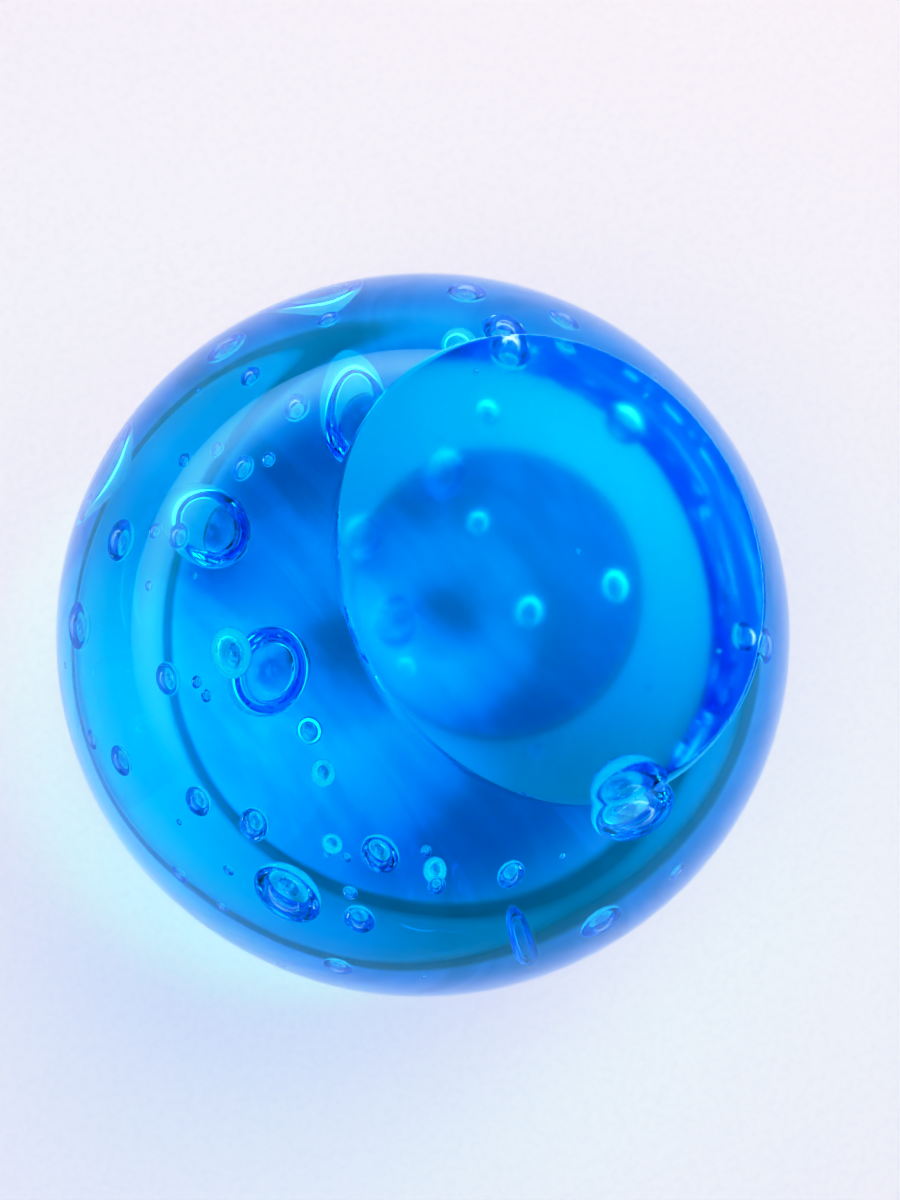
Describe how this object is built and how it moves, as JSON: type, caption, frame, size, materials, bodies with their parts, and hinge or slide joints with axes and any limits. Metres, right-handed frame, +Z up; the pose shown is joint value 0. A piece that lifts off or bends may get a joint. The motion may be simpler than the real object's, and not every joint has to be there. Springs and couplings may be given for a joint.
{
  "type": "glass bubble paperweight",
  "caption": "Solid aqua glass ball with air bubbles trapped inside, a ground flat base and a tilted polished window.",
  "frame": {"origin": "middle of the flat base, on the desk", "axes": "+Z up; +X is the way the polished window leans"},
  "size_m": [0.09, 0.09, 0.0843],
  "materials": {
    "casing_glass": "polished",
    "middle_glass": "polished",
    "core_glass": "polished",
    "trapped_air": "polished"
  },
  "bodies": {
    "root": {"core_gather": "core_glass", "middle_gather": "middle_glass", "casing_gather": "casing_glass", "large_bubble_1": "trapped_air", "large_bubble_2": "trapped_air", "large_bubble_3": "trapped_air", "large_bubble_4": "trapped_air", "large_bubble_5": "trapped_air", "large_bubble_6": "trapped_air", "large_bubble_7": "trapped_air", "large_bubble_8": "trapped_air", "medium_bubbles": "trapped_air", "small_bubbles": "trapped_air", "deep_bubbles": "trapped_air", "seed_bubbles": "trapped_air"}
  },
  "joints": []
}
